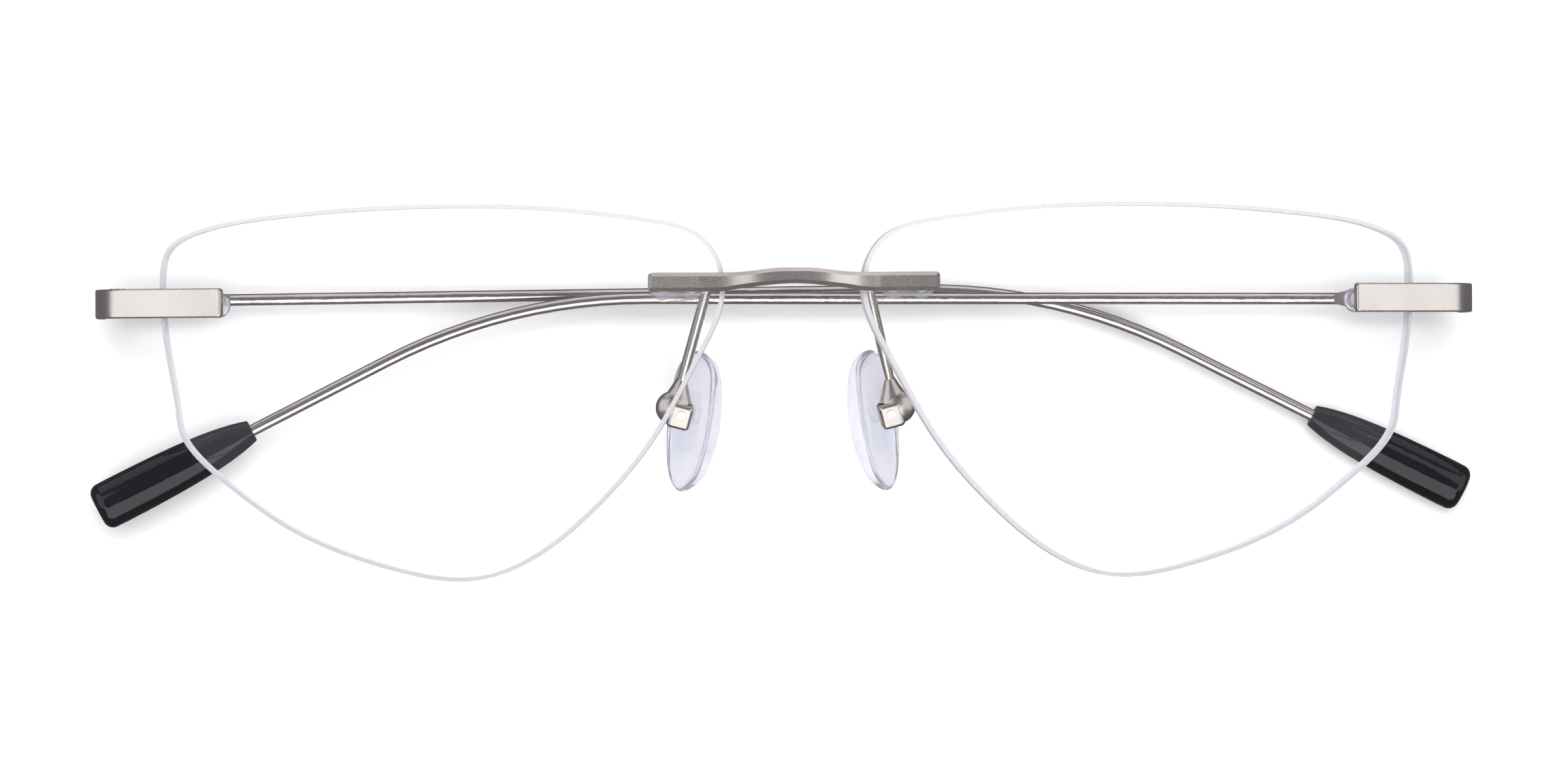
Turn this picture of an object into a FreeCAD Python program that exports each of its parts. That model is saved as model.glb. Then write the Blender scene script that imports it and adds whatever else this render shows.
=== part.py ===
import FreeCAD, Part
import math
import os

# Folding rimless eyeglasses, lying folded on their temples with the lens fronts upwards.
# Row frame: +X towards the wearer's left, +Y towards the top of the glasses, +Z towards the
# front of the glasses. The origin is under the middle of the object, on the surface it lies on.
# Everything is first built around the apex plane of the lens fronts (Z = 0 there) and is
# lifted at the end, so that the lowest temple tip touches Z = 0.

V = FreeCAD.Vector
X_AXIS = V(1, 0, 0)
Y_AXIS = V(0, 1, 0)
Z_AXIS = V(0, 0, 1)

# Lenses
LENS_WIDTH = 55.0                     # boxed width of one lens
LENS_GAP = 14.0                       # distance between the lenses
LENS_THICKNESS = 2.2
LENS_FRONT_RADIUS = 122.0             # spherical front
LENS_EDGE_BEVEL = 0.4
WRAP_ANGLE = 6.0                      # each lens turns outwards by this angle
# Outline of the left lens about its boxed centre, outwards along +X.
LENS_OUTLINE = [
    V(25.8, -2.5, 0), V(26.9, 4.1, 0), V(27.5, 10.5, 0), V(26.7, 14.3, 0),
    V(24.2, 15.8, 0), V(16.5, 17.3, 0), V(8.0, 18.0, 0), V(-1.0, 18.25, 0),
    V(-10.0, 18.0, 0), V(-19.6, 16.9, 0), V(-25.4, 14.9, 0), V(-27.4, 10.4, 0),
    V(-25.0, 3.2, 0), V(-20.6, -4.7, 0), V(-15.1, -11.2, 0), V(-8.8, -16.2, 0),
    V(-4.2, -18.0, 0), V(4.8, -17.1, 0), V(14.7, -13.2, 0), V(21.4, -8.4, 0),
]

# Lens mounts: two metal pins in a clear plug at each end of each lens
MOUNT_PIN_RADIUS = 0.45
PLUG_SLEEVE_RADIUS = 0.75
PLUG_FLANGE_RADIUS = {"bridge": 1.3, "endpiece": 1.2}
PLUG_FLANGE_THICKNESS = 0.7
PLUG_SEAT_GAP = 0.035                 # the lens back is hollow, so the flat flange stands off it
PLUG_SLEEVE_RECESS = 0.05             # the sleeves end below the lens front
FIT_GAP = 0.01                        # radial gap between pin, plug and lens
BRIDGE_MOUNT = (11.0, 10.45)          # X, Y of the middle of the bridge mount
BRIDGE_PIN_SPACING = 2.7
ENDPIECE_MOUNT = (57.8, 8.85)
ENDPIECE_PIN_SPACING = 2.8

# Bridge bar
BRIDGE_HALF_LENGTH = 14.1
BRIDGE_THICKNESS = 1.2
# Half of each outline from the middle to where the straight end begins: X and height
BRIDGE_TOP = [(0.0, 11.93), (1.8, 11.9), (4.2, 11.63), (6.4, 11.5)]
BRIDGE_BOTTOM = [(0.0, 10.4), (3.3, 10.17), (5.6, 9.88), (7.6, 9.65)]
BRIDGE_BOW = [                        # in front of the straight ends
    (0.0, 1.0), (2.0, 0.985), (3.5, 0.84), (5.0, 0.5), (6.5, 0.17), (8.0, 0.02), (9.2, 0.0),
]
BRIDGE_CORNER_ROUND = 0.4
BRIDGE_TOP_BEVEL = 0.38

# Endpieces
ENDPIECE_HEIGHT = 2.85
ENDPIECE_THICKNESS = 0.9
ENDPIECE_BEDDING = 0.12               # the upright plate is hollowed by this to fit the lens front
ENDPIECE_INNER_X = 55.3
ENDPIECE_OUTER_X = 67.7
ENDPIECE_BEND_RADIUS = 4.2            # outer radius of the corner to the side
ENDPIECE_CORNER_ROUND = 0.35
ENDPIECE_EDGE_ROUND = 0.2

# Hinges: the axis is parallel to Y
HINGE_X = 65.7
HINGE_Z = -14.0
HINGE_Y = {"right": 9.2, "left": 8.85}
KNUCKLE_RADIUS = 1.0
KNUCKLE_HALF_HEIGHT = 0.45            # centre knuckle
HINGE_HALF_HEIGHT = 1.0               # whole barrel
KNUCKLE_GAP = 0.05
KNUCKLE_SWING_GAP = 0.12              # around the centre knuckle
HINGE_LEAF_THICKNESS = 0.6
HINGE_LEAF_LENGTH = 3.3
SCREW_RADIUS = 0.5
SCREW_CLEARANCE = 0.03
SCREW_HEAD_RADIUS = 0.8
SCREW_HEAD_HEIGHT = 0.22
SCREW_SLOT_DEPTH = 0.12
BUTT_GAP = 0.08                       # temple end to endpiece, when open

# Temples, in their own frame: u along the temple from the hinge axis, v up, d outwards
TEMPLE_LENGTH = 137.9                 # hinge axis to the end of the tip, along the bend
TEMPLE_OFFSET = 1.6                   # centre line outside the hinge axis
TEMPLE_HALF_HEIGHT = 0.58
TEMPLE_HALF_DEPTH = 0.5
LEAF_LENGTH = 8.5
LEAF_HALF_HEIGHT = 1.1
LEAF_TAPER = 2.5
LEAF_ROUND = 0.25
TONGUE_LENGTH = 3.2
BEND_START = 79.4
BEND_RADIUS = 56.0
BEND_ANGLE = 27.3
TIP_LENGTH = 17.0
TIP_END_ROUND = 1.0
TIP_START_ROUND = 0.15
WIRE_END_RADIUS = 0.49
WIRE_IN_TIP = 14.0
TEMPLE_RISE = {"right": 0.55, "left": 0.3}       # degrees above the hinge's square
FOLD_TILT = {"right": -0.6, "left": 0.6}         # degrees; the right tip lies lower
# Tip sections: distance from the wire end, half height, half depth
TIP_SECTIONS = [
    (0.0, 1.07, 1.0), (1.7, 1.5, 1.2), (4.0, 1.87, 1.38),
    (7.5, 2.16, 1.52), (11.5, 2.3, 1.62), (TIP_LENGTH, 2.3, 1.6),
]

# Nose pads
PAD_ARM_RADIUS = 0.5
PAD_ARM_ROUTE = [V(5.55, 10.75, 0.0), V(5.55, 10.75, -4.3), V(7.9, 9.95, -4.9), V(10.25, 0.9, -9.7)]
PAD_ARM_BEND = 0.75
PAD_SHIFT = {"right": 0.3, "left": -0.3}          # both pads stand this far to the wearer's right
PAD_PIN = V(10.25, -2.1, -9.9)
PAD_PIN_RADIUS = 0.4
PAD_PIN_PROUD = 0.12
BOX_LEAN = 15.0                       # the box stands in line with its arm
BOX_PITCH = 12.0                      # and its front faces a little down
BOX_INNER = 1.1                       # pin axis to the nose side of the box
BOX_OUTER = 1.2
BOX_TOP = 1.05
BOX_BOTTOM = 1.5
BOX_DEPTH = 2.0
BOX_ROUND = 0.42
BOX_WALL = 0.15                       # left beside the slot on the outer side
BOX_SLOT_DEPTH = 1.0
BOX_SLOT_HEIGHT = 2.3
DOME_CENTRE = V(0.95, 0.3, 0)
DOME_RADIUS = 1.68
DOME_HALF_DEPTH = 0.98
SHOULDER_START = V(0.6, 0.45, 0)      # where the shoulder is widest
SHOULDER_HALF_WIDTH = 1.7
SHOULDER_HALF_DEPTH = 0.95
SHOULDER_END_RADIUS = 0.56            # just more than the arm
SHOULDER_OVERLAP = 0.3                # the arm ends inside the shoulder
PAD_WIDTH = 6.9
PAD_HEIGHT = 13.9
PAD_THICKNESS = 1.9
PAD_EDGE_ROUND = 0.3
PAD_FACE_RADIUS = 24.0
PAD_SPLAY = 55.0                      # the pad face turns this far from straight back
PAD_LEAN = 7.5                        # the lower end leans outwards
PAD_CENTRE = V(9.53, -2.9, -12.9)     # middle of the pad's flat back
# Pad outline in half widths and half heights, +X towards the outer edge
PAD_OUTLINE = [
    V(0.30, 0.99, 0), V(-0.32, 0.96, 0), V(-0.80, 0.78, 0), V(-0.98, 0.30, 0),
    V(-0.94, -0.25, 0), V(-0.64, -0.76, 0), V(0.05, -1.0, 0), V(0.64, -0.78, 0),
    V(0.96, -0.25, 0), V(1.0, 0.25, 0), V(0.84, 0.74, 0),
]
TONGUE_THICKNESS = 0.8
TONGUE_HEIGHT = 1.3
TONGUE_REACH = 1.9                    # pin axis to the corner where the tongue turns back
INSERT_LENGTH = 6.0
INSERT_WIDTH = 2.6
INSERT_THICKNESS = 0.5
INSERT_BEHIND = 1.1                   # underside of the plate, from the pad's flat back
INSERT_CORNER = 0.6

LENS_CENTRE_X = LENS_GAP / 2 + LENS_WIDTH / 2 * math.cos(math.radians(WRAP_ANGLE))
LENS_PLACEMENT = FreeCAD.Placement(V(LENS_CENTRE_X, 0, 0), FreeCAD.Rotation(Y_AXIS, WRAP_ANGLE))


def fuse(first, *others):
    return first.multiFuse(list(others)).removeSplitter()


def cylinder(radius, start, end):
    axis = end - start
    return Part.makeCylinder(radius, axis.Length, start, axis)


def block(low, high):
    size = high - low
    return Part.makeBox(size.x, size.y, size.z, low)


def rounded(solid, radius, wanted):
    edges = [edge for edge in solid.Edges if wanted(edge)]
    return solid.makeFillet(radius, edges)


def is_along(edge, axis):
    if not isinstance(edge.Curve, Part.Line):
        return False
    return abs(edge.Curve.Direction.dot(axis)) > 0.999


def mirrored(shape):
    return shape.mirror(V(0, 0, 0), X_AXIS)


def lens_point(x, y):
    """Placement on the lens front over (x, y): local X outwards, Y up, Z off the surface."""
    centre = LENS_PLACEMENT.multVec(V(0, 0, -LENS_FRONT_RADIUS))
    z = centre.z + math.sqrt(LENS_FRONT_RADIUS ** 2 - (x - centre.x) ** 2 - (y - centre.y) ** 2)
    normal = (V(x, y, z) - centre).normalize()
    up = (Y_AXIS - normal * Y_AXIS.dot(normal)).normalize()
    rotation = FreeCAD.Rotation(up.cross(normal), up, normal, "ZXY")
    return FreeCAD.Placement(V(x, y, z), rotation)


def mount_frames():
    return {
        "bridge": (lens_point(*BRIDGE_MOUNT), BRIDGE_PIN_SPACING),
        "endpiece": (lens_point(*ENDPIECE_MOUNT), ENDPIECE_PIN_SPACING),
    }


def pin_offsets(spacing):
    return {"inner": V(-spacing / 2, 0, 0), "outer": V(spacing / 2, 0, 0)}


def lens_blank():
    """Spherical shell inside the lens outline, without its holes."""
    curve = Part.BSplineCurve()
    curve.interpolate(LENS_OUTLINE, PeriodicFlag=True)
    outline = Part.Face(Part.Wire(curve.toShape()))
    outline.translate(V(0, 0, -20))
    prism = outline.extrude(V(0, 0, 40))
    centre = V(0, 0, -LENS_FRONT_RADIUS)
    front = Part.makeSphere(LENS_FRONT_RADIUS, centre, Y_AXIS)
    back = Part.makeSphere(LENS_FRONT_RADIUS - LENS_THICKNESS, centre, Y_AXIS)
    blank = prism.common(front).cut(back)
    rim = [edge for edge in blank.Edges if edge.Length > LENS_WIDTH]
    solid = blank.makeChamfer(LENS_EDGE_BEVEL, rim)
    solid.Placement = LENS_PLACEMENT
    return solid


def lens():
    solid = lens_blank()
    for frame, spacing in mount_frames().values():
        for offset in pin_offsets(spacing).values():
            hole = cylinder(PLUG_SLEEVE_RADIUS + FIT_GAP, offset + V(0, 0, -6), offset + V(0, 0, 3))
            hole.Placement = frame
            solid = solid.cut(hole)
    return solid


def mount_plug(frame, spacing, flange_radius):
    """Clear plug behind the lens: a flange with two lobes and a sleeve in each lens hole."""
    seat = -LENS_THICKNESS - PLUG_SEAT_GAP
    foot = seat - PLUG_FLANGE_THICKNESS
    offsets = pin_offsets(spacing).values()
    pieces = [cylinder(flange_radius, at + V(0, 0, foot), at + V(0, 0, seat)) for at in offsets]
    sleeve_top = -PLUG_SLEEVE_RECESS
    pieces += [cylinder(PLUG_SLEEVE_RADIUS, at + V(0, 0, foot), at + V(0, 0, sleeve_top)) for at in offsets]
    web_half = flange_radius * 0.8
    pieces.append(block(V(-spacing / 2, -web_half, foot), V(spacing / 2, web_half, seat)))
    plug = fuse(*pieces)
    for at in offsets:
        plug = plug.cut(cylinder(MOUNT_PIN_RADIUS + FIT_GAP, at + V(0, 0, foot - 1), at + V(0, 0, 1)))
    plug.Placement = frame
    return plug


def mount_pin(frame, offset):
    """Metal pin from the back of the bar or endpiece, through the plug."""
    length = LENS_THICKNESS + PLUG_FLANGE_THICKNESS
    pin = cylinder(MOUNT_PIN_RADIUS, offset + V(0, 0, -length), offset)
    pin.Placement = frame
    return pin


def crest(half, profile, end_rise, across):
    """Edges from -half to half along X: straight ends and a smooth crest between them.

    Heights are measured along the direction across; the straight ends climb by end_rise per
    unit of X.
    """
    def at(x, height):
        return V(x, 0, 0) + across * height

    flat_from, end = profile[-1]
    tip = end + (half - flat_from) * end_rise
    points = [at(-x, height) for x, height in reversed(profile[1:])]
    points += [at(x, height) for x, height in profile]
    climb = V(1, 0, 0) + across * end_rise
    drop = V(1, 0, 0) - across * end_rise
    curve = Part.BSplineCurve()
    curve.interpolate(points, InitialTangent=drop, FinalTangent=climb)
    return [
        Part.LineSegment(at(-half, tip), at(-flat_from, end)).toShape(),
        curve.toShape(),
        Part.LineSegment(at(flat_from, end), at(half, tip)).toShape(),
    ]


def band(low_edges, high_edges):
    """Face between two crests of the same length."""
    ends = []
    for pick in (0, -1):
        low = low_edges[pick].Vertexes[pick].Point
        high = high_edges[pick].Vertexes[pick].Point
        ends.append(Part.LineSegment(low, high).toShape())
    return Part.Face(Part.Wire(Part.__sortEdges__(low_edges + high_edges + ends)))


def bridge_bar():
    """Arched bar: its front outline crossed with its outline seen from above."""
    frame = mount_frames()["bridge"][0]
    slope = frame.Rotation.multVec(X_AXIS)
    rise = slope.z / slope.x
    half = BRIDGE_HALF_LENGTH
    bow_z = frame.Base.z + (BRIDGE_BOW[-1][0] - BRIDGE_MOUNT[0]) * rise
    plan = [
        crest(half, [(x, bow_z + bow + thickness) for x, bow in BRIDGE_BOW], rise, Z_AXIS)
        for thickness in (0.0, BRIDGE_THICKNESS)
    ]
    plan_face = band(*plan)
    bottom = BRIDGE_BOTTOM[-1][1]
    plan_face.translate(V(0, bottom - 2, 0))
    from_above = plan_face.extrude(V(0, 6, 0))
    front_face = band(crest(half, BRIDGE_BOTTOM, 0, Y_AXIS), crest(half, BRIDGE_TOP, 0, Y_AXIS))
    front_face.translate(V(0, 0, -5))
    bar = from_above.common(front_face.extrude(V(0, 0, 10)))
    bar = rounded(bar, BRIDGE_CORNER_ROUND, lambda edge: is_along(edge, Z_AXIS))
    front_top = [
        edge for edge in bar.Edges
        if edge.CenterOfMass.y > BRIDGE_MOUNT[1] + 0.4
        and edge.CenterOfMass.z > bow_z + BRIDGE_THICKNESS * 0.7
        and edge.BoundBox.XLength > 3
    ]
    bar = bar.makeChamfer(BRIDGE_TOP_BEVEL, front_top)
    blank = lens_blank()
    return bar.cut(blank).cut(mirrored(blank))


def endpiece():
    """Plate on the lens front, a bend round the lens edge and a short arm to the hinge."""
    frame = mount_frames()["endpiece"][0]
    out = frame.Rotation.multVec(X_AXIS)
    out = V(out.x, 0, out.z).normalize()
    off = V(-out.z, 0, out.x)
    back_at = V(frame.Base.x, 0, frame.Base.z) - off * ENDPIECE_BEDDING
    thick = ENDPIECE_THICKNESS
    outer_r = ENDPIECE_BEND_RADIUS
    inner_r = outer_r - thick
    centre_x = ENDPIECE_OUTER_X - outer_r
    front_at = back_at + off * thick
    run = (centre_x + off.x * outer_r - front_at.x) / out.x
    bend_start = front_at + out * run
    centre = bend_start - off * outer_r
    half_turn = (off + X_AXIS).normalize()
    inner_run = (ENDPIECE_INNER_X - front_at.x) / out.x
    tail_front = front_at + out * inner_run
    tail_back = tail_front - off * thick
    corner = [
        Part.LineSegment(tail_front, bend_start).toShape(),
        Part.Arc(bend_start, centre + half_turn * outer_r, centre + X_AXIS * outer_r).toShape(),
        Part.LineSegment(centre + X_AXIS * outer_r, V(ENDPIECE_OUTER_X, 0, HINGE_Z)).toShape(),
        Part.LineSegment(V(ENDPIECE_OUTER_X, 0, HINGE_Z), V(ENDPIECE_OUTER_X - thick, 0, HINGE_Z)).toShape(),
        Part.LineSegment(V(ENDPIECE_OUTER_X - thick, 0, HINGE_Z), centre + X_AXIS * inner_r).toShape(),
        Part.Arc(centre + X_AXIS * inner_r, centre + half_turn * inner_r, centre + off * inner_r).toShape(),
        Part.LineSegment(centre + off * inner_r, tail_back).toShape(),
        Part.LineSegment(tail_back, tail_front).toShape(),
    ]
    plan = Part.Face(Part.Wire(corner))
    plan.translate(V(0, ENDPIECE_MOUNT[1] - ENDPIECE_HEIGHT / 2, 0))
    solid = plan.extrude(V(0, ENDPIECE_HEIGHT, 0))
    solid = rounded(
        solid, ENDPIECE_CORNER_ROUND,
        lambda edge: abs(edge.Length - thick) < 0.01 and edge.CenterOfMass.z > HINGE_Z + 1)
    solid = rounded(solid, ENDPIECE_EDGE_ROUND, lambda edge: edge.Length > 1.5 and not is_along(edge, Y_AXIS))
    return solid.cut(lens_blank())


def hinge_barrel(y):
    """Endpiece half of the hinge: leaf on the inside of the arm and the two outer knuckles."""
    arm_x = ENDPIECE_OUTER_X - ENDPIECE_THICKNESS
    leaf_low = V(arm_x - HINGE_LEAF_THICKNESS, y - HINGE_HALF_HEIGHT, HINGE_Z)
    leaf = block(leaf_low, V(arm_x, y + HINGE_HALF_HEIGHT, HINGE_Z + HINGE_LEAF_LENGTH))
    slot_half = KNUCKLE_HALF_HEIGHT + KNUCKLE_GAP
    swing_radius = KNUCKLE_RADIUS + KNUCKLE_SWING_GAP
    swing = Part.makeCylinder(swing_radius, 2 * slot_half, V(HINGE_X, y - slot_half, HINGE_Z), Y_AXIS)
    half = fuse(leaf, *[
        part for low, high in ((-HINGE_HALF_HEIGHT, -slot_half), (slot_half, HINGE_HALF_HEIGHT))
        for part in (
            Part.makeCylinder(KNUCKLE_RADIUS, high - low, V(HINGE_X, y + low, HINGE_Z), Y_AXIS),
            block(V(HINGE_X, y + low, HINGE_Z), V(arm_x, y + high, HINGE_Z + KNUCKLE_RADIUS)),
        )
    ])
    bore = Part.makeCylinder(SCREW_RADIUS + FIT_GAP, 6, V(HINGE_X, y - 3, HINGE_Z), Y_AXIS)
    return half.cut(swing).cut(bore)


def hinge_screw(y):
    low = y - HINGE_HALF_HEIGHT - 0.1
    top = y + HINGE_HALF_HEIGHT
    shank = Part.makeCylinder(SCREW_RADIUS, top - low, V(HINGE_X, low, HINGE_Z), Y_AXIS)
    head = Part.makeCylinder(SCREW_HEAD_RADIUS, SCREW_HEAD_HEIGHT, V(HINGE_X, top, HINGE_Z), Y_AXIS)
    slot_low = V(HINGE_X - 1, top + SCREW_HEAD_HEIGHT - SCREW_SLOT_DEPTH, HINGE_Z - 0.1)
    slot = block(slot_low, slot_low + V(2, 1, 0.2))
    return fuse(shank, head).cut(slot)


def temple_hinge():
    """Temple half of the hinge: centre knuckle and tongue, in the temple frame."""
    half = KNUCKLE_HALF_HEIGHT
    knuckle = Part.makeCylinder(KNUCKLE_RADIUS, 2 * half, V(0, -half, 0), Y_AXIS)
    inner = TEMPLE_OFFSET - TEMPLE_HALF_DEPTH
    tongue = block(V(BUTT_GAP, -half, 0), V(TONGUE_LENGTH, half, inner))
    bore = Part.makeCylinder(SCREW_RADIUS + SCREW_CLEARANCE, 4, V(0, -2, 0), Y_AXIS)
    return fuse(knuckle, tongue).cut(bore)


def ellipse_face(origin, half_height, half_depth):
    """Elliptical section across the X axis at origin."""
    curve = Part.Ellipse(V(0, half_height, 0), V(0, 0, half_depth), V(0, 0, 0))
    face = Part.Face(Part.Wire(curve.toShape()))
    face.translate(origin)
    return face


def ear_frame():
    """Placement at the end of the bend: local X along the ear part."""
    turn = math.radians(BEND_ANGLE)
    end = V(BEND_START + BEND_RADIUS * math.sin(turn), -BEND_RADIUS * (1 - math.cos(turn)), TEMPLE_OFFSET)
    return FreeCAD.Placement(end, FreeCAD.Rotation(Z_AXIS, -BEND_ANGLE))


def ear_run():
    """Straight wire between the bend and the tip."""
    return TEMPLE_LENGTH - BEND_START - BEND_RADIUS * math.radians(BEND_ANGLE) - TIP_LENGTH


def temple_wire():
    inner = TEMPLE_OFFSET - TEMPLE_HALF_DEPTH
    outline = Part.makePolygon([
        V(BUTT_GAP, -LEAF_HALF_HEIGHT, inner), V(LEAF_LENGTH, -LEAF_HALF_HEIGHT, inner),
        V(LEAF_LENGTH + LEAF_TAPER, -TEMPLE_HALF_HEIGHT * 0.8, inner),
        V(LEAF_LENGTH + LEAF_TAPER, TEMPLE_HALF_HEIGHT * 0.8, inner),
        V(LEAF_LENGTH, LEAF_HALF_HEIGHT, inner), V(BUTT_GAP, LEAF_HALF_HEIGHT, inner),
        V(BUTT_GAP, -LEAF_HALF_HEIGHT, inner),
    ])
    leaf = Part.Face(outline).extrude(V(0, 0, 2 * TEMPLE_HALF_DEPTH))
    outside = TEMPLE_OFFSET + 0.3
    leaf = rounded(leaf, LEAF_ROUND, lambda edge: edge.CenterOfMass.z > outside and edge.BoundBox.XLength > 1)
    start = V(LEAF_LENGTH - 0.5, 0, TEMPLE_OFFSET)
    section = ellipse_face(start, TEMPLE_HALF_HEIGHT, TEMPLE_HALF_DEPTH)
    straight = section.extrude(V(BEND_START - start.x, 0, 0))
    bend_face = ellipse_face(V(BEND_START, 0, TEMPLE_OFFSET), TEMPLE_HALF_HEIGHT, TEMPLE_HALF_DEPTH)
    bend = bend_face.revolve(V(BEND_START, -BEND_RADIUS, TEMPLE_OFFSET), V(0, 0, -1), BEND_ANGLE)
    ear = ear_frame()
    run = ear_run()
    ear_part = ellipse_face(V(0, 0, 0), TEMPLE_HALF_HEIGHT, TEMPLE_HALF_DEPTH).extrude(V(run, 0, 0))
    core = cylinder(WIRE_END_RADIUS, V(run, 0, 0), V(run + WIRE_IN_TIP, 0, 0))
    ear_part.Placement = ear
    core.Placement = ear
    return fuse(straight, leaf, bend, ear_part, core)


def temple_tip():
    """Moulded ear tip: widening elliptical sections and a blunt rounded end, bored for the wire."""
    sections = [ellipse_face(V(s, 0, 0), height, depth).OuterWire for s, height, depth in TIP_SECTIONS]
    tip = Part.makeLoft(sections, True)
    tip = rounded(tip, TIP_END_ROUND, lambda edge: edge.BoundBox.XMin > TIP_LENGTH - 0.01)
    tip = rounded(tip, TIP_START_ROUND, lambda edge: edge.BoundBox.XMax < 0.01)
    tip = tip.cut(cylinder(WIRE_END_RADIUS + FIT_GAP, V(-1, 0, 0), V(WIRE_IN_TIP + 0.1, 0, 0)))
    tip.Placement = ear_frame().multiply(FreeCAD.Placement(V(ear_run(), 0, 0), FreeCAD.Rotation()))
    return tip


def temple_placement(side):
    """From the temple frame to the folded left temple; the right one is mirrored afterwards."""
    fold = FreeCAD.Rotation(Y_AXIS, 180 + FOLD_TILT[side])
    return FreeCAD.Placement(V(HINGE_X, HINGE_Y[side], HINGE_Z), fold)


def rise_placement(side):
    return FreeCAD.Placement(V(0, 0, 0), FreeCAD.Rotation(Z_AXIS, TEMPLE_RISE[side]))


def bent_rod(points, radius, bend):
    """Round rod along straight runs joined by tangent arcs."""
    edges = []
    start = points[0]
    for before, at, after in zip(points, points[1:], points[2:]):
        back = (before - at).normalize()
        ahead = (after - at).normalize()
        half_angle = back.getAngle(ahead) / 2
        cut = bend / math.tan(half_angle)
        first = at + back * cut
        last = at + ahead * cut
        inside = at + (back + ahead).normalize() * (bend / math.sin(half_angle) - bend)
        edges.append(Part.LineSegment(start, first).toShape())
        edges.append(Part.Arc(first, inside, last).toShape())
        start = last
    edges.append(Part.LineSegment(start, points[-1]).toShape())
    ring = Part.Wire(Part.makeCircle(radius, points[0], points[1] - points[0]))
    return Part.Wire(edges).makePipeShell([ring], True, True)


def pad_arm():
    return bent_rod(PAD_ARM_ROUTE, PAD_ARM_RADIUS, PAD_ARM_BEND)


def box_frame():
    """Placement at the pad pin: local X outwards, local Y up the arm, local Z to the front."""
    lean = FreeCAD.Rotation(Z_AXIS, BOX_LEAN)
    pitch = FreeCAD.Rotation(X_AXIS, BOX_PITCH)
    return FreeCAD.Placement(PAD_PIN, lean.multiply(pitch))


def upright_ellipse(centre, half_width, half_depth):
    """Elliptical wire across the Y axis at centre; half_width is at least half_depth."""
    curve = Part.Ellipse(V(half_width, 0, 0), V(0, 0, half_depth), V(0, 0, 0))
    wire = Part.Wire(curve.toShape())
    wire.translate(centre)
    return wire


def pad_box():
    """Box that holds the pad: flat-fronted block, dome on the outer side, shoulder to the arm."""
    frame = box_frame()
    body = block(V(-BOX_INNER, -BOX_BOTTOM, -BOX_DEPTH / 2), V(BOX_OUTER, BOX_TOP, BOX_DEPTH / 2))
    body = body.makeFillet(BOX_ROUND, body.Edges)
    scale = FreeCAD.Matrix()
    scale.scale(DOME_RADIUS, DOME_RADIUS, DOME_HALF_DEPTH)
    dome = Part.makeSphere(1.0).transformGeometry(scale)
    dome.translate(DOME_CENTRE)
    end, before = PAD_ARM_ROUTE[-1], PAD_ARM_ROUTE[-2]
    arm_end = frame.inverse().multVec(end + (before - end).normalize() * SHOULDER_OVERLAP)
    wide = upright_ellipse(SHOULDER_START, SHOULDER_HALF_WIDTH, SHOULDER_HALF_DEPTH)
    narrow = upright_ellipse(arm_end, SHOULDER_END_RADIUS, SHOULDER_END_RADIUS * 0.99)
    shoulder = Part.makeLoft([wide, narrow], True, True)
    box = fuse(body, dome, shoulder)
    slot_low = V(-BOX_INNER - 1, -BOX_SLOT_HEIGHT / 2, -BOX_SLOT_DEPTH / 2)
    slot_high = V(BOX_OUTER - BOX_WALL, BOX_SLOT_HEIGHT / 2, BOX_SLOT_DEPTH / 2)
    bore = cylinder(PAD_PIN_RADIUS + FIT_GAP, V(0, 0, -3), V(0, 0, 3))
    box = box.cut(block(slot_low, slot_high)).cut(bore)
    box.Placement = frame
    return box


def pad_pin():
    half = BOX_DEPTH / 2
    pin = cylinder(PAD_PIN_RADIUS, V(0, 0, -half), V(0, 0, half + PAD_PIN_PROUD))
    pin.Placement = box_frame()
    return pin


def pad_frame():
    """Placement on the pad's flat back: local X outwards and back, Y up, Z off the back."""
    splay = FreeCAD.Rotation(Y_AXIS, PAD_SPLAY)
    lean = FreeCAD.Rotation(Z_AXIS, PAD_LEAN)
    return FreeCAD.Placement(PAD_CENTRE, lean.multiply(splay))


def nose_pad(insert):
    """Soft clear pad with a domed face, moulded round its stiff insert."""
    curve = Part.BSplineCurve()
    points = [V(at.x * PAD_WIDTH / 2, at.y * PAD_HEIGHT / 2, 0) for at in PAD_OUTLINE]
    curve.interpolate(points, PeriodicFlag=True)
    face = Part.Face(Part.Wire(curve.toShape()))
    face.translate(V(0, 0, -PAD_THICKNESS * 1.5))
    prism = face.extrude(V(0, 0, PAD_THICKNESS * 1.5))
    dome = Part.makeSphere(PAD_FACE_RADIUS, V(0, 0, PAD_FACE_RADIUS - PAD_THICKNESS), Y_AXIS)
    pad = prism.common(dome)
    pad = rounded(pad, PAD_EDGE_ROUND, lambda edge: edge.Length > PAD_HEIGHT)
    pad.Placement = pad_frame()
    return pad.cut(insert)


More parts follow.
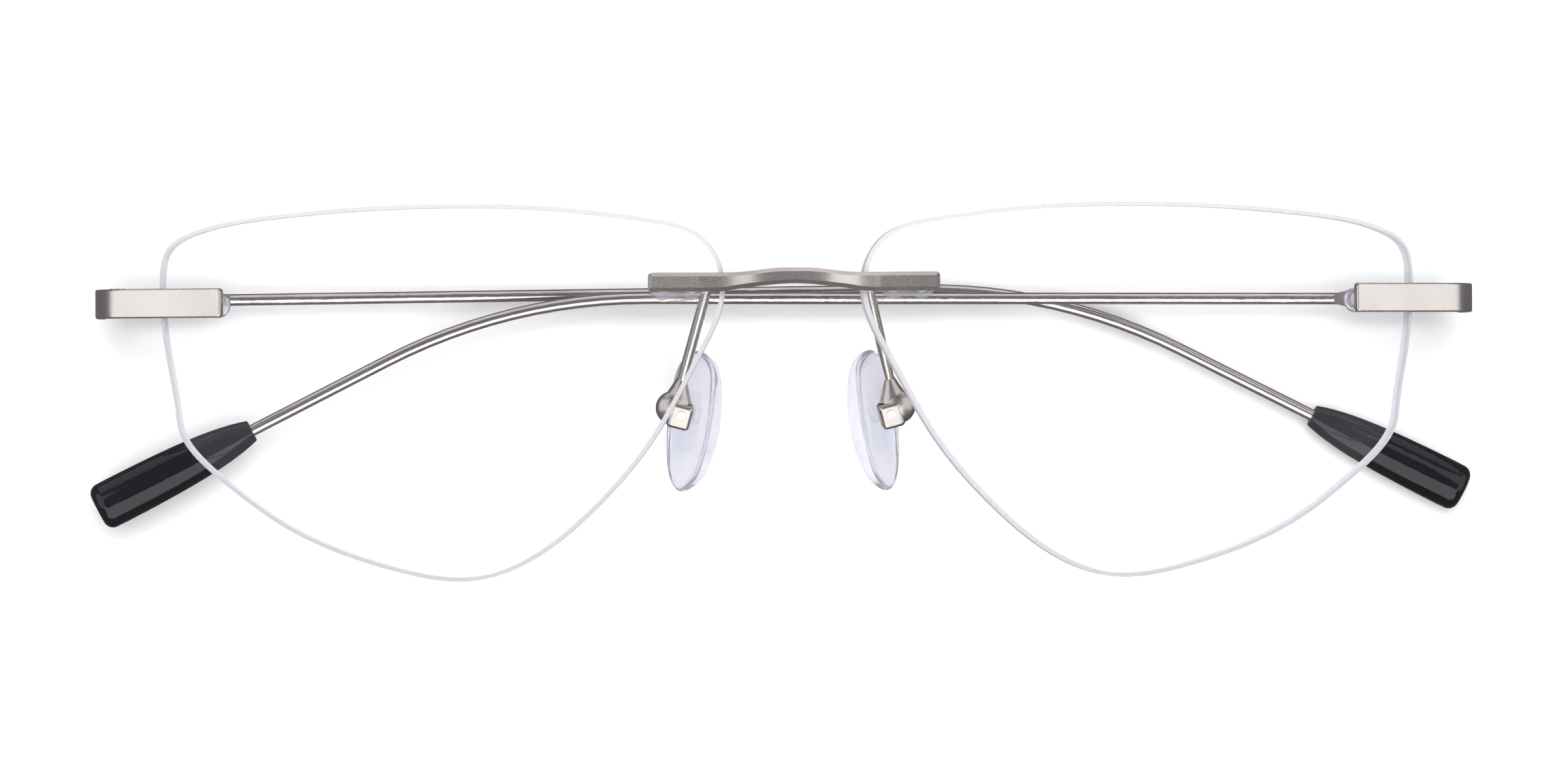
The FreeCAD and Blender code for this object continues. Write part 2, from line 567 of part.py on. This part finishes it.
def pad_insert():
    """Stiff insert: a plate inside the pad and a tongue with an eye for the pin."""
    plate = block(
        V(-INSERT_WIDTH / 2, -INSERT_LENGTH / 2, -INSERT_BEHIND),
        V(INSERT_WIDTH / 2, INSERT_LENGTH / 2, INSERT_THICKNESS - INSERT_BEHIND),
    )
    plate = rounded(plate, INSERT_CORNER, lambda edge: is_along(edge, Z_AXIS))
    plate.Placement = pad_frame()
    frame = box_frame()
    middle = V(0, 0, INSERT_THICKNESS / 2 - INSERT_BEHIND)
    root = frame.inverse().multVec(pad_frame().multVec(middle))
    half_t = TONGUE_THICKNESS / 2
    half_h = TONGUE_HEIGHT / 2
    eye = cylinder(half_h, V(0, 0, -half_t), V(0, 0, half_t))
    profile = Part.makePolygon([
        V(0, 0, half_t), V(-TONGUE_REACH, 0, half_t), V(root.x - 0.45, 0, root.z + 0.3),
        V(root.x + 0.45, 0, root.z - 0.2), V(-TONGUE_REACH + 0.55, 0, -half_t), V(0, 0, -half_t),
        V(0, 0, half_t),
    ])
    neck = Part.Face(profile)
    neck.translate(V(0, -half_h, 0))
    neck = neck.extrude(V(0, TONGUE_HEIGHT, 0))
    tongue = fuse(neck, eye).cut(cylinder(PAD_PIN_RADIUS + SCREW_CLEARANCE, V(0, 0, -3), V(0, 0, 3)))
    tongue.Placement = frame
    return fuse(plate, tongue)


def side_parts(side, bar):
    """All the parts of one side, built as the wearer's left."""
    parts = {side + "_lens": lens()}
    plate = endpiece()
    for mount, (frame, spacing) in mount_frames().items():
        parts[side + "_" + mount + "_plug"] = mount_plug(frame, spacing, PLUG_FLANGE_RADIUS[mount])
        for place, offset in pin_offsets(spacing).items():
            parts[side + "_" + mount + "_pin_" + place] = mount_pin(frame, offset).cut(bar).cut(plate)
    parts[side + "_endpiece"] = plate
    y = HINGE_Y[side]
    parts[side + "_endpiece_hinge"] = hinge_barrel(y).cut(plate)
    parts[side + "_hinge_screw"] = hinge_screw(y)
    shift = V(PAD_SHIFT[side], 0, 0)
    insert = pad_insert()
    arm = pad_arm()
    box = pad_box().cut(arm)
    pads = {
        "_pad_arm": arm, "_pad_box": box, "_pad_pin": pad_pin(),
        "_pad_insert": insert, "_nose_pad": nose_pad(insert),
    }
    for name, shape in pads.items():
        shape.translate(shift)
        parts[side + name] = shape
    parts[side + "_pad_arm"] = arm.cut(bar)
    rise = rise_placement(side)
    fold = temple_placement(side)
    hinge = temple_hinge()
    hinge.Placement = fold
    parts[side + "_temple_hinge"] = hinge
    for name, shape in (("_temple", temple_wire()), ("_temple_tip", temple_tip())):
        shape.Placement = fold.multiply(rise).multiply(shape.Placement)
        parts[side + name] = shape
    return parts


bar = bridge_bar()
model = {"bridge_bar": bar}
for side, own_bar in (("right", mirrored(bar)), ("left", bar)):
    for name, shape in side_parts(side, own_bar).items():
        model[name] = mirrored(shape) if side == "right" else shape

lift = -min(shape.optimalBoundingBox(False, False).ZMin for shape in model.values())
os.makedirs("parts", exist_ok=True)
for name, shape in model.items():
    shape.translate(V(0, 0, lift))
    shape.exportStep("parts/" + name + ".step")
    print(name, shape.isValid(), len(shape.Solids), round(shape.Volume, 3))
print("lift", round(lift, 4))
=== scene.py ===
import bmesh
import bpy
import math
from mathutils import Matrix, Vector


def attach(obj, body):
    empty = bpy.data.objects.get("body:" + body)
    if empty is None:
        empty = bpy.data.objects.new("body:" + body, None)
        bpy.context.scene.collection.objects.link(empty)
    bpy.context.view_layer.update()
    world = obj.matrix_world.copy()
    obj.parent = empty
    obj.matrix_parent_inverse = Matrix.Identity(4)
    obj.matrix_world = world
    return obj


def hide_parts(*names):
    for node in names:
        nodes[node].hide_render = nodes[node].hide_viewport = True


# Looks of the rimless eyeglasses: materials for the CAD nodes, moulded nose pads, floor, lights
# and camera. Everything is in metres, in the CAD's frame: +X to the wearer's left, +Y to the
# top of the glasses, +Z out of the lens fronts, and Z = 0 on the floor.

MM = 0.001
LENS_FRONT_HEIGHT = 18.652 * MM
SIDES = {"right": -1, "left": 1}
WRAP_ANGLE = 6.0                      # degrees that each lens turns outwards
NOISE_LOW, NOISE_HIGH = 0.3, 0.7      # the part of a noise's range that carries its variation

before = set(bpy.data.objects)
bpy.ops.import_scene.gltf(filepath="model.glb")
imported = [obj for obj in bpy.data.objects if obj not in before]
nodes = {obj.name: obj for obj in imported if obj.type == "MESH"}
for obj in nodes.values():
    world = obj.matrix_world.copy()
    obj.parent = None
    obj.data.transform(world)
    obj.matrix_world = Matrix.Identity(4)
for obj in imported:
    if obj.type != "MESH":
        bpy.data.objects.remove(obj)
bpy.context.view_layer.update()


# Shader helpers

def new_material(name):
    material = bpy.data.materials.new(name)
    material.use_nodes = True
    material.node_tree.nodes.clear()
    return material


def add(material, kind, **values):
    """Adds a node; values set its sockets by name, with _ for a space."""
    node = material.node_tree.nodes.new(kind)
    for name, value in values.items():
        node.inputs[name.replace("_", " ")].default_value = value
    return node


def link(material, source, target):
    material.node_tree.links.new(source, target)


def noise(material, scale, detail=3.0, stretch=(1, 1, 1)):
    """Noise on the object's own coordinates, in cycles per metre, stretched along an axis."""
    place = add(material, "ShaderNodeTexCoord")
    mapping = add(material, "ShaderNodeMapping", Scale=stretch)
    texture = add(material, "ShaderNodeTexNoise", Scale=scale, Detail=detail)
    link(material, place.outputs["Object"], mapping.inputs["Vector"])
    link(material, mapping.outputs["Vector"], texture.inputs["Vector"])
    return texture.outputs["Fac"]


def ramp(material, factor, low, high):
    """Colour from low to high over a noise's range."""
    node = add(material, "ShaderNodeValToRGB")
    node.color_ramp.elements[0].position = NOISE_LOW
    node.color_ramp.elements[1].position = NOISE_HIGH
    node.color_ramp.elements[0].color = low
    node.color_ramp.elements[1].color = high
    link(material, factor, node.inputs["Fac"])
    return node.outputs["Color"]


def spread(material, factor, low, high):
    """Number from low to high over a noise's range."""
    node = add(
        material, "ShaderNodeMapRange",
        From_Min=NOISE_LOW, From_Max=NOISE_HIGH, To_Min=low, To_Max=high)
    link(material, factor, node.inputs["Value"])
    return node.outputs["Result"]


def bump(material, height, depth):
    node = add(material, "ShaderNodeBump", Strength=1.0, Distance=depth)
    link(material, height, node.inputs["Height"])
    return node.outputs["Normal"]


def finish_with(material, shader):
    output = add(material, "ShaderNodeOutputMaterial")
    link(material, shader, output.inputs["Surface"])
    return material


def grey(value, tint=(1, 1, 1)):
    return (value * tint[0], value * tint[1], value * tint[2], 1)


# Materials

LAVENDER = (0.985, 0.975, 1.04)
MILK = (0.97, 0.97, 1.06)
WARM = (1.0, 0.935, 0.89)
LENS_FLAT = 0.90                      # facing above this is the polished face
LENS_WALL = 0.80                      # facing below this is the ground edge
LENS_VEIL = 0.010
LENS_FROST = 0.92
CLEARER = 1.04                        # the clearest places of a moulding against its tint


def satin_metal(name, dark, light, rough_low, rough_high, grain, depth):
    """Fine satin plated metal: cloudy tone, short grain along X and a slight sparkle."""
    material = new_material(name)
    shader = add(material, "ShaderNodeBsdfPrincipled", Metallic=1.0)
    cloud = noise(material, 220)
    link(material, ramp(material, cloud, dark, light), shader.inputs["Base Color"])
    brush = noise(material, grain, 2.0, (0.35, 1, 1))
    link(material, spread(material, brush, rough_low, rough_high), shader.inputs["Roughness"])
    link(material, bump(material, brush, depth), shader.inputs["Normal"])
    return finish_with(material, shader.outputs["BSDF"])


def tip_plastic():
    """Polished black moulded plastic with a faint ripple and fine handling marks."""
    material = new_material("tip_black")
    shader = add(material, "ShaderNodeBsdfPrincipled", IOR=1.4)
    cloud = noise(material, 120)
    dark = (0.006, 0.006, 0.008, 1)
    light = (0.011, 0.010, 0.014, 1)
    link(material, ramp(material, cloud, dark, light), shader.inputs["Base Color"])
    marks = noise(material, 2500, 5.0, (0.3, 1, 1))
    link(material, spread(material, marks, 0.05, 0.12), shader.inputs["Roughness"])
    ripple = noise(material, 160, 1.0)
    link(material, bump(material, ripple, 0.006 * MM), shader.inputs["Normal"])
    return finish_with(material, shader.outputs["BSDF"])


def clear_body(material, tint, gloss, gloss_rough, body, body_amount):
    """Clear plastic without bending light: tint, some body colour, faint gloss on the outside."""
    through = add(material, "ShaderNodeBsdfTransparent", Color=tint)
    skin = add(material, "ShaderNodeBsdfGlossy", Roughness=gloss_rough)
    edge = add(material, "ShaderNodeFresnel", IOR=gloss)
    surface = add(material, "ShaderNodeNewGeometry")
    outside = add(material, "ShaderNodeMapRange", To_Min=1.0, To_Max=0.0)
    link(material, surface.outputs["Backfacing"], outside.inputs["Value"])
    amount = add(material, "ShaderNodeMath")
    amount.operation = "MULTIPLY"
    link(material, edge.outputs["Fac"], amount.inputs[0])
    link(material, outside.outputs["Result"], amount.inputs[1])
    mix_gloss = add(material, "ShaderNodeMixShader")
    link(material, amount.outputs["Value"], mix_gloss.inputs["Fac"])
    link(material, through.outputs["BSDF"], mix_gloss.inputs[1])
    link(material, skin.outputs["BSDF"], mix_gloss.inputs[2])
    mix_body = add(material, "ShaderNodeMixShader")
    link(material, body_amount, mix_body.inputs["Fac"])
    link(material, mix_gloss.outputs["Shader"], mix_body.inputs[1])
    link(material, body, mix_body.inputs[2])
    return mix_body.outputs["Shader"]


def lens_plastic(side, axis):
    """Clear coated lens whose ground edge is frosted; axis is the lens's own axis."""
    material = new_material(side + "_lens_clear")
    facing = add(material, "ShaderNodeVectorMath")
    facing.operation = "DOT_PRODUCT"
    facing.inputs[1].default_value = axis
    surface = add(material, "ShaderNodeNewGeometry")
    link(material, surface.outputs["True Normal"], facing.inputs[0])
    flat = add(material, "ShaderNodeMath")
    flat.operation = "ABSOLUTE"
    link(material, facing.outputs["Value"], flat.inputs[0])
    amount = add(
        material, "ShaderNodeMapRange",
        From_Min=LENS_FLAT, From_Max=LENS_WALL, To_Min=LENS_VEIL, To_Max=LENS_FROST)
    link(material, flat.outputs["Value"], amount.inputs["Value"])
    grind = noise(material, 3000, 2.0)
    frost = add(material, "ShaderNodeBsdfPrincipled", Roughness=0.6, Specular_IOR_Level=0.1)
    tone = ramp(material, grind, grey(0.61, LAVENDER), grey(0.67, LAVENDER))
    link(material, tone, frost.inputs["Base Color"])
    link(material, bump(material, grind, 0.004 * MM), frost.inputs["Normal"])
    shader = clear_body(
        material, (0.996, 0.996, 0.998, 1), 1.22, 0.02,
        frost.outputs["BSDF"], amount.outputs["Result"])
    return finish_with(material, shader)


def clear_insert():
    """Stiff clear plastic, seen mostly through the pad that is moulded round it."""
    material = new_material("insert_clear")
    body = add(material, "ShaderNodeBsdfPrincipled", Roughness=0.3)
    cloud = noise(material, 600)
    tone = ramp(material, cloud, grey(0.45, LAVENDER), grey(0.60, LAVENDER))
    link(material, tone, body.inputs["Base Color"])
    link(material, bump(material, cloud, 0.01 * MM), body.inputs["Normal"])
    amount = spread(material, noise(material, 900), 0.03, 0.06)
    shader = clear_body(material, (0.99, 0.99, 0.995, 1), 1.12, 0.05, body.outputs["BSDF"], amount)
    return finish_with(material, shader)


def clear_moulding(name, tint, rough_low, rough_high, ior, ripple_depth, milk):
    """Solid clear moulding that bends light, is a little milky and casts a tinted shadow."""
    material = new_material(name)
    glass = add(material, "ShaderNodeBsdfPrincipled", Transmission_Weight=1.0, IOR=ior)
    cloud = noise(material, 300)
    clearer = tuple(min(value * CLEARER, 1) for value in tint[:3]) + (1,)
    link(material, ramp(material, cloud, tint, clearer), glass.inputs["Base Color"])
    wear = noise(material, 900)
    link(material, spread(material, wear, rough_low, rough_high), glass.inputs["Roughness"])
    link(material, bump(material, noise(material, 260, 1.0), ripple_depth), glass.inputs["Normal"])
    haze = add(material, "ShaderNodeBsdfDiffuse")
    link(material, ramp(material, cloud, grey(0.54, MILK), grey(0.62, MILK)), haze.inputs["Color"])
    cloudy = add(material, "ShaderNodeMixShader", Fac=milk)
    link(material, glass.outputs["BSDF"], cloudy.inputs[1])
    link(material, haze.outputs["BSDF"], cloudy.inputs[2])
    path = add(material, "ShaderNodeLightPath")
    through = add(material, "ShaderNodeBsdfTransparent", Color=tint)
    mix = add(material, "ShaderNodeMixShader")
    link(material, path.outputs["Is Shadow Ray"], mix.inputs["Fac"])
    link(material, cloudy.outputs["Shader"], mix.inputs[1])
    link(material, through.outputs["BSDF"], mix.inputs[2])
    return finish_with(material, mix.outputs["Shader"])


def dress(material, *names):
    for name in names:
        slots = nodes[name].data.materials
        slots.clear()
        slots.append(material)


def both(*names):
    return [side + "_" + name for side in SIDES for name in names]


def dress_cad_nodes():
    plated = satin_metal(
        "plated_metal", grey(0.60, WARM), grey(0.68, WARM), 0.24, 0.30, 9000, 0.0004 * MM)
    dress(plated, "bridge_bar", *both("endpiece", "endpiece_hinge", "temple_hinge"))
    # Pad boxes: a darker copy of the plated metal, painted shade that dims the reflection on their
    # plates, with a slightly rougher finish
    matt_painted_shade = satin_metal(
        "matt_painted_shade_metal", grey(0.44, WARM), grey(0.52, WARM), 0.26, 0.32, 9000, 0.0004 * MM)
    dress(matt_painted_shade, *both("pad_box"))
    drawn = satin_metal(
        "drawn_wire", grey(0.56, WARM), grey(0.64, WARM), 0.16, 0.22, 7000, 0.0003 * MM)
    dress(drawn, *both("temple", "pad_pin"))
    # Pad arms: a lighter copy of the wire metal, painted light that makes the arms look more brightly
    # lit
    painted_light_metal = satin_metal(
        "bright_wire", grey(0.74, WARM), grey(0.82, WARM), 0.24, 0.30, 7000, 0.0003 * MM)
    dress(painted_light_metal, *both("pad_arm"))
    screw = satin_metal(
        "screw_steel", grey(0.64, WARM), grey(0.72, WARM), 0.15, 0.25, 9000, 0.0005 * MM)
    dress(screw, *both("hinge_screw", "bridge_pin_inner", "bridge_pin_outer",
                       "endpiece_pin_inner", "endpiece_pin_outer"))
    dress(tip_plastic(), *both("temple_tip"))
    plug = clear_moulding("plug_clear", (0.86, 0.86, 0.93, 1), 0.04, 0.12, 1.45, 0.003 * MM, 0.15)
    dress(plug, *both("bridge_plug", "endpiece_plug"))
    dress(clear_insert(), *both("pad_insert"))
    wrap = math.radians(WRAP_ANGLE)
    for side, sign in SIDES.items():
        dress(lens_plastic(side, (sign * math.sin(wrap), 0, math.cos(wrap))), side + "_lens")


def smooth_cad_nodes():
    for node in nodes.values():
        for face in node.data.polygons:
            face.use_smooth = True


# Nose pads

PAD_SPLAY = 55.0
PAD_LEAN = 7.5
PAD_CENTRE = {"right": (9.83, -2.9, -12.9), "left": (9.23, -2.9, -12.9)}    # mm, under the lens fronts
PAD_HALF = (3.45, 6.95)               # mm
PAD_THICKNESS = 1.9
PAD_RIM_DEPTH = 0.46                  # the domed face starts at least this far below the back
PAD_FACE_RADIUS = 24.0
PAD_STEPS = 96                        # points round the outline
# Outline in half widths and half heights, +X towards the outer edge
PAD_OUTLINE = [
    (0.30, 0.99), (-0.32, 0.96), (-0.80, 0.78), (-0.98, 0.30), (-0.94, -0.25), (-0.64, -0.76),
    (0.05, -1.0), (0.64, -0.78), (0.96, -0.25), (1.0, 0.25), (0.84, 0.74),
]
# Rings from the middle of the flat back outwards: share of the outline, depth below the back
PAD_BACK = [
    (0.10, 0.16), (0.30, 0.16), (0.44, 0.155), (0.52, 0.12), (0.58, 0.04), (0.66, 0.01), (0.80, 0.0),
    (0.90, 0.01), (0.95, 0.05), (0.983, 0.14), (0.997, 0.28), (1.0, 0.45),
]
# Rings over the domed face back to its middle: share of the outline, height above the face
PAD_FACE = [
    (1.0, 0.42), (0.997, 0.26), (0.983, 0.13), (0.95, 0.04), (0.90, 0.0), (0.78, 0.0), (0.62, 0.0),
    (0.45, 0.0), (0.28, 0.0), (0.12, 0.0),
]


def smooth_loop(points, steps):
    """Points along a closed Catmull-Rom curve."""
    count = len(points)
    loop = []
    for step in range(steps):
        place = step * count / steps
        at = int(place)
        t = place - at
        a, b, c, d = (Vector(points[(at + k) % count]) for k in (-1, 0, 1, 2))
        square = (2 * a - 5 * b + 4 * c - d) * t ** 2
        cube = (3 * b - a - 3 * c + d) * t ** 3
        loop.append(0.5 * (2 * b + (c - a) * t + square + cube))
    return loop


def pad_points():
    """Rings of the pad in its own frame in mm: X outwards and back, Y up, Z off the flat back."""
    loop = [Vector((p.x * PAD_HALF[0], p.y * PAD_HALF[1])) for p in smooth_loop(PAD_OUTLINE, PAD_STEPS)]
    rings = [[(p.x * share, p.y * share, -depth) for p in loop] for share, depth in PAD_BACK]
    for share, height in PAD_FACE:
        ring = []
        for p in loop:
            x, y = p.x * share, p.y * share
            sag = (x * x + y * y) / (2 * PAD_FACE_RADIUS)
            ring.append((x, y, min(-PAD_THICKNESS + sag + height, -PAD_RIM_DEPTH)))
        rings.append(ring)
    return rings


def make_pad(side, sign, material):
    """Moulded pad: flat back with a shallow pocket, rounded rim and domed face."""
    lean = Matrix.Rotation(math.radians(PAD_LEAN), 4, "Z")
    splay = Matrix.Rotation(math.radians(PAD_SPLAY), 4, "Y")
    place = Matrix.Translation(Vector(PAD_CENTRE[side]) * MM + Vector((0, 0, LENS_FRONT_HEIGHT)))
    frame_matrix = Matrix.Diagonal((sign, 1, 1, 1)) @ place @ lean @ splay @ Matrix.Scale(MM, 4)
    build = bmesh.new()
    rings = []
    for ring in pad_points():
        rings.append([build.verts.new(frame_matrix @ Vector(point)) for point in ring])
    for lower, upper in zip(rings, rings[1:]):
        for k in range(PAD_STEPS):
            build.faces.new((lower[k - 1], lower[k], upper[k], upper[k - 1]))
    build.faces.new(rings[0])
    build.faces.new(rings[-1])
    bmesh.ops.recalc_face_normals(build, faces=build.faces)
    for face in build.faces:
        face.smooth = True
    mesh = bpy.data.meshes.new(side + "_clear_pad")
    build.to_mesh(mesh)
    build.free()
    mesh.materials.append(material)
    pad = bpy.data.objects.new(side + "_clear_pad", mesh)
    bpy.context.collection.objects.link(pad)
    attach(pad, side + "_pad_body")
    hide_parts(side + "_nose_pad")


def make_pads():
    silicone = clear_moulding(
        "pad_silicone", (0.83, 0.835, 0.885, 1), 0.02, 0.06, 1.38, 0.004 * MM, 0.14)
    for side, sign in SIDES.items():
        make_pad(side, sign, silicone)


# Floor, lights and camera

FLOOR_SIZE = 3.0
FLOOR_WHITE = (0.86, 0.86, 0.86, 1)
WORLD_TONE = (0.96, 0.95, 1.0, 1)
WORLD_STRENGTH = 0.18


def make_floor():
    """White floor; from below it is clear, so that the open temples can be seen under it."""
    half = FLOOR_SIZE / 2
    mesh = bpy.data.meshes.new("floor")
    corners = [(-half, -half, 0), (half, -half, 0), (half, half, 0), (-half, half, 0)]
    mesh.from_pydata(corners, [], [(0, 1, 2, 3)])
    floor = bpy.data.objects.new("floor", mesh)
    bpy.context.collection.objects.link(floor)
    material = new_material("floor_white")
    paper = add(material, "ShaderNodeBsdfDiffuse", Color=FLOOR_WHITE)
    below = add(material, "ShaderNodeBsdfTransparent")
    surface = add(material, "ShaderNodeNewGeometry")
    mix = add(material, "ShaderNodeMixShader")
    link(material, surface.outputs["Backfacing"], mix.inputs["Fac"])
    link(material, paper.outputs["BSDF"], mix.inputs[1])
    link(material, below.outputs["BSDF"], mix.inputs[2])
    mesh.materials.append(finish_with(material, mix.outputs["Shader"]))
    floor.visible_glossy = False


def soft_box(name, place, size, radiance, colour=(1, 1, 1)):
    """Rectangular area light aimed at the object, of a given radiance."""
    light = bpy.data.lights.new(name, "AREA")
    light.shape = "RECTANGLE"
    light.size, light.size_y = size
    light.energy = radiance * math.pi * size[0] * size[1]
    light.color = colour
    lamp = bpy.data.objects.new(name, light)
    bpy.context.collection.objects.link(lamp)
    lamp.location = place
    lamp.rotation_euler = (-Vector(place)).to_track_quat("-Z", "Y").to_euler()
    return lamp


def make_lights():
    """Reflectors that only show in shiny surfaces, a key and a fill that only light dull ones."""
    reflectors = [
        soft_box("box_right", (-0.70, 0.05, 0.60), (0.95, 1.0), 1.15),
        soft_box("box_left", (0.70, 0.05, 0.60), (0.95, 1.0), 1.15),
        soft_box("box_low", (0.0, -0.52, 0.74), (0.80, 0.76), 2.2),
        soft_box("box_top", (0.0, 0.95, 0.35), (1.60, 0.90), 0.85, (0.98, 0.92, 1.0)),
    ]
    for lamp in reflectors:
        lamp.visible_diffuse = False
    lamps = [
        soft_box("key", (0.0, 0.55, 0.80), (0.75, 0.65), 2.6),
        soft_box("fill", (0.0, 0.0, 1.2), (1.5, 1.5), 3.3),
    ]
    for lamp in lamps:
        lamp.visible_glossy = False
    world = bpy.data.worlds.new("studio")
    world.use_nodes = True
    background = world.node_tree.nodes["Background"]
    background.inputs["Color"].default_value = WORLD_TONE
    background.inputs["Strength"].default_value = WORLD_STRENGTH
    bpy.context.scene.world = world
    bpy.context.scene.view_settings.view_transform = "Standard"


CAMERA_DISTANCE = 0.600               # from the plane that touches the lens fronts
CAMERA_YAW = 3.23                     # degrees; the camera stands towards the wearer's right
CAMERA_ROLL = 0.33
CAMERA_OFFSET = (-1.015 * MM, -0.08 * MM)
CAMERA_FOCAL = 142.7
SENSOR_WIDTH = 36.0
CAMERA_CLIP = 0.02                    # nearest distance that is drawn


def make_camera():
    data = bpy.data.cameras.new("camera")
    data.sensor_width = SENSOR_WIDTH
    data.lens = CAMERA_FOCAL
    data.clip_start = CAMERA_CLIP
    camera = bpy.data.objects.new("camera", data)
    bpy.context.collection.objects.link(camera)
    yaw = Matrix.Rotation(math.radians(CAMERA_YAW), 4, "Y")
    roll = Matrix.Rotation(math.radians(CAMERA_ROLL), 4, "Z")
    turn = (roll @ yaw).inverted()
    place = Matrix.Translation((CAMERA_OFFSET[0], CAMERA_OFFSET[1], CAMERA_DISTANCE))
    camera.matrix_world = Matrix.Translation((0, 0, LENS_FRONT_HEIGHT)) @ turn @ place
    bpy.context.scene.camera = camera


smooth_cad_nodes()
dress_cad_nodes()
make_pads()
make_floor()
make_lights()
make_camera()
